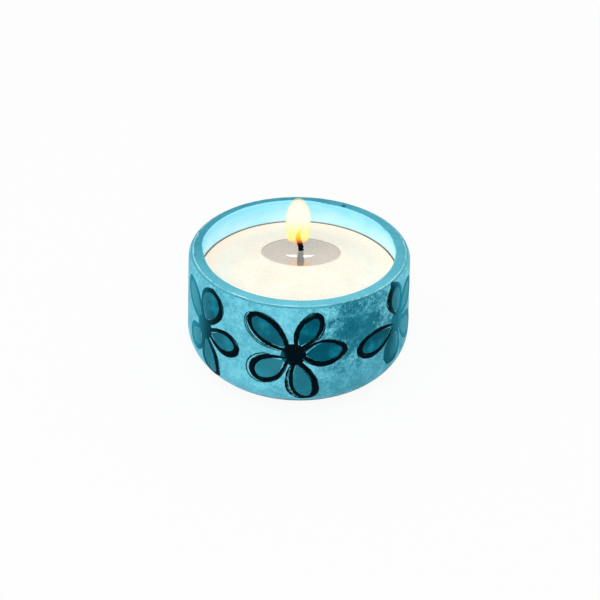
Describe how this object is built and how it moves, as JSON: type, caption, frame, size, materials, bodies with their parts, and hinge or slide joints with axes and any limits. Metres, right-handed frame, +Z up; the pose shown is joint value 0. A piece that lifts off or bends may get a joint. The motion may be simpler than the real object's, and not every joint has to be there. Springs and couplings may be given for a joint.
{
  "type": "painted glass candle cup",
  "caption": "Low round glass cup with a teal wash and painted flowers, filled with cream wax and a lit wick: a small standing candle light.",
  "frame": {"origin": "centre of the cup's bearing ring, on the surface that it stands on", "axes": "+Z up along the cup's axis, -Y towards the front flower, +X to the right of it"},
  "size_m": [0.0804, 0.081, 0.0548],
  "materials": {
    "cup_glass": "polished",
    "teal_wash": "satin",
    "candle_wax": "satin",
    "molten_wax": "polished",
    "cotton_wick": "matte",
    "tinplate": "satin",
    "adhesive_pad": "matte",
    "flame": "matte",
    "petal_enamel": "satin",
    "outline_enamel": "satin"
  },
  "bodies": {
    "root": {"glass_cup": "cup_glass", "colour_coat": "teal_wash", "wax_fill": "candle_wax", "melt_pool": "molten_wax", "wick": "cotton_wick", "wick_sustainer": "tinplate", "sustainer_pad": "adhesive_pad", "flame": "flame", "front_flower_petals": "petal_enamel", "front_flower_outline": "outline_enamel", "right_flower_petals": "petal_enamel", "right_flower_outline": "outline_enamel", "back_right_flower_petals": "petal_enamel", "back_right_flower_outline": "outline_enamel", "back_flower_petals": "petal_enamel", "back_flower_outline": "outline_enamel", "back_left_flower_petals": "petal_enamel", "back_left_flower_outline": "outline_enamel", "left_flower_petals": "petal_enamel", "left_flower_outline": "outline_enamel"}
  },
  "joints": []
}
